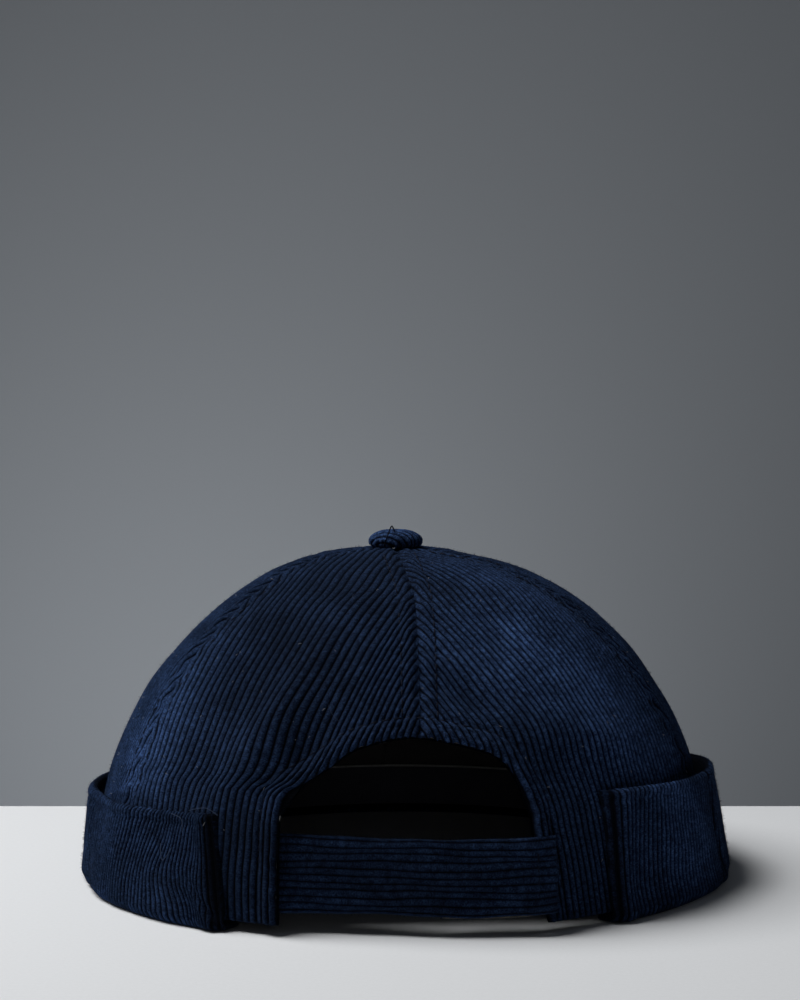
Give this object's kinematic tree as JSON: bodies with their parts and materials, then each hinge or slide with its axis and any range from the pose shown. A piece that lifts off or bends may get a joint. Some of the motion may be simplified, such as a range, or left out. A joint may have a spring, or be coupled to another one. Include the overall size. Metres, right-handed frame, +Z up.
{
  "type": "docker cap",
  "caption": "Brimless six-panel corduroy cap with a covered button, a turned-up cuff, an arched back opening and a closing strap.",
  "frame": {"origin": "on the table, under the middle of the cap's bounding box", "axes": "+Z up, the back with its opening and strap faces -Y, the wearer's forehead faces +Y, the wearer's right is +X"},
  "size_m": [0.1922, 0.2021, 0.1007],
  "materials": {
    "corduroy": "navy fine-wale cotton corduroy, matt with a soft sheen",
    "facing": "pale grey-beige woven binding",
    "sweatband": "dark woven cotton",
    "fastening": "olive-grey looped fastening tape"
  },
  "bodies": {
    "root": {"panel_back_left": "corduroy", "panel_back_right": "corduroy", "panel_side_right": "corduroy", "panel_front_right": "corduroy", "panel_front_left": "corduroy", "panel_side_left": "corduroy", "opening_facing": "facing", "cuff": "corduroy", "sweatband": "sweatband", "strap": "corduroy", "strap_tab": "corduroy", "fastening_patch": "fastening", "button": "corduroy"}
  },
  "joints": []
}
